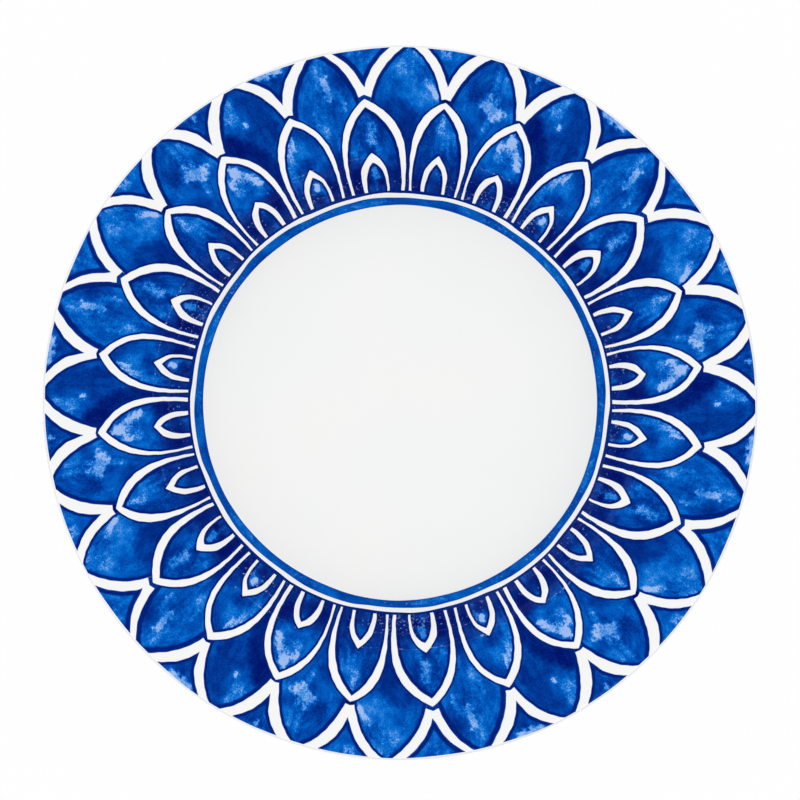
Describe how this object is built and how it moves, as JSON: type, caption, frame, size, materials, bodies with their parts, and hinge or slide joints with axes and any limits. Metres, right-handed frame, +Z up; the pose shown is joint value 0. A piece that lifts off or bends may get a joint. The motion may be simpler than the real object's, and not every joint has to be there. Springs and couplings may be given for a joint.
{
  "type": "painted dinner plate",
  "caption": "Round rimmed ceramic dinner plate with a foot ring, white glaze and a painted blue petal band on the rim.",
  "frame": {"origin": "centre of the foot ring, on the plane that the plate stands on", "axes": "+Z up along the plate's axis, out of the well; +Y towards the petals at the top of the pattern"},
  "size_m": [0.27, 0.27, 0.0249],
  "materials": {
    "fired_clay": "bare fired clay, matt and slightly rough",
    "white_glaze": "glossy white glaze",
    "cobalt_line": "glossy dark cobalt brush line",
    "cobalt_wash": "glossy cobalt wash with lighter patches and dark outlines"
  },
  "bodies": {
    "root": {"clay_body": "fired_clay", "face_glaze": "white_glaze", "base_glaze": "white_glaze", "well_band": "cobalt_line", "petal_base_line": "cobalt_line", "bud_petals": "cobalt_wash", "inner_petals": "cobalt_wash", "outer_petals": "cobalt_wash", "tip_links": "cobalt_line", "edge_spandrels": "cobalt_wash"}
  },
  "joints": []
}
